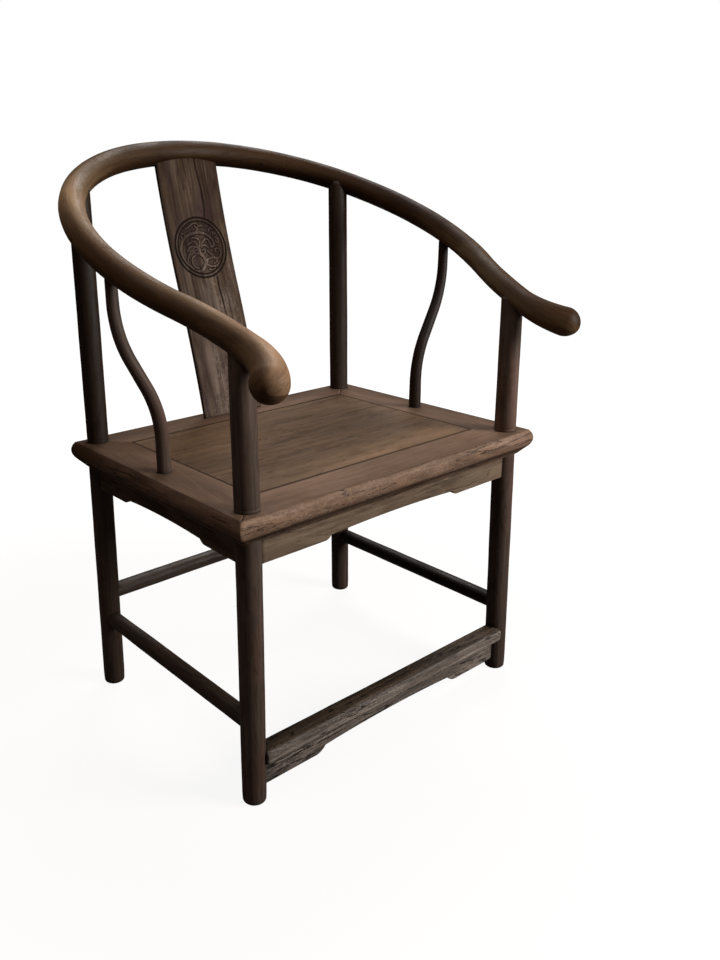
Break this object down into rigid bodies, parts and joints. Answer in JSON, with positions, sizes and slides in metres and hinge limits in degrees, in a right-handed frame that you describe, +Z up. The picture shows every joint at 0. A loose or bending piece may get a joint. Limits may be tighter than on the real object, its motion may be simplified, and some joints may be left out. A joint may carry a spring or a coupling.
{
  "type": "horseshoe back armchair",
  "caption": "Wooden armchair with a horseshoe-shaped crest rail, curved back splat, framed seat, cusped aprons and a foot rest.",
  "frame": {"origin": "on the floor, under the middle of the chair's outline seen from above", "axes": "+X to the right of a person who faces the chair's front, which is the sitter's left; the front faces -Y; +Z up"},
  "size_m": [0.7328, 0.6787, 0.9522],
  "materials": {
    "rail_wood": "satin",
    "splat_wood": "satin",
    "seat_wood": "satin",
    "frame_wood": "satin",
    "leg_wood": "satin",
    "foot_rest_wood": "satin"
  },
  "bodies": {
    "root": {"apron_back": "frame_wood", "apron_front": "frame_wood", "apron_left": "frame_wood", "apron_right": "frame_wood", "back_splat": "splat_wood", "foot_rest": "foot_rest_wood", "foot_rest_apron": "foot_rest_wood", "front_leg_left": "leg_wood", "front_leg_right": "leg_wood", "rail_arm_left": "rail_wood", "rail_arm_right": "rail_wood", "rail_centre": "rail_wood", "rail_scarf_pegs": "rail_wood", "rail_shoulder_left": "rail_wood", "rail_shoulder_right": "rail_wood", "rear_leg_left": "leg_wood", "rear_leg_right": "leg_wood", "rear_stretcher": "leg_wood", "seat_batten_left": "seat_wood", "seat_batten_right": "seat_wood", "seat_board_1": "seat_wood", "seat_board_2": "seat_wood", "seat_board_3": "seat_wood", "seat_frame_back": "frame_wood", "seat_frame_front": "frame_wood", "seat_frame_left": "frame_wood", "seat_frame_right": "frame_wood", "side_post_left": "leg_wood", "side_post_right": "leg_wood", "side_stretcher_left": "leg_wood", "side_stretcher_right": "leg_wood"}
  },
  "joints": []
}
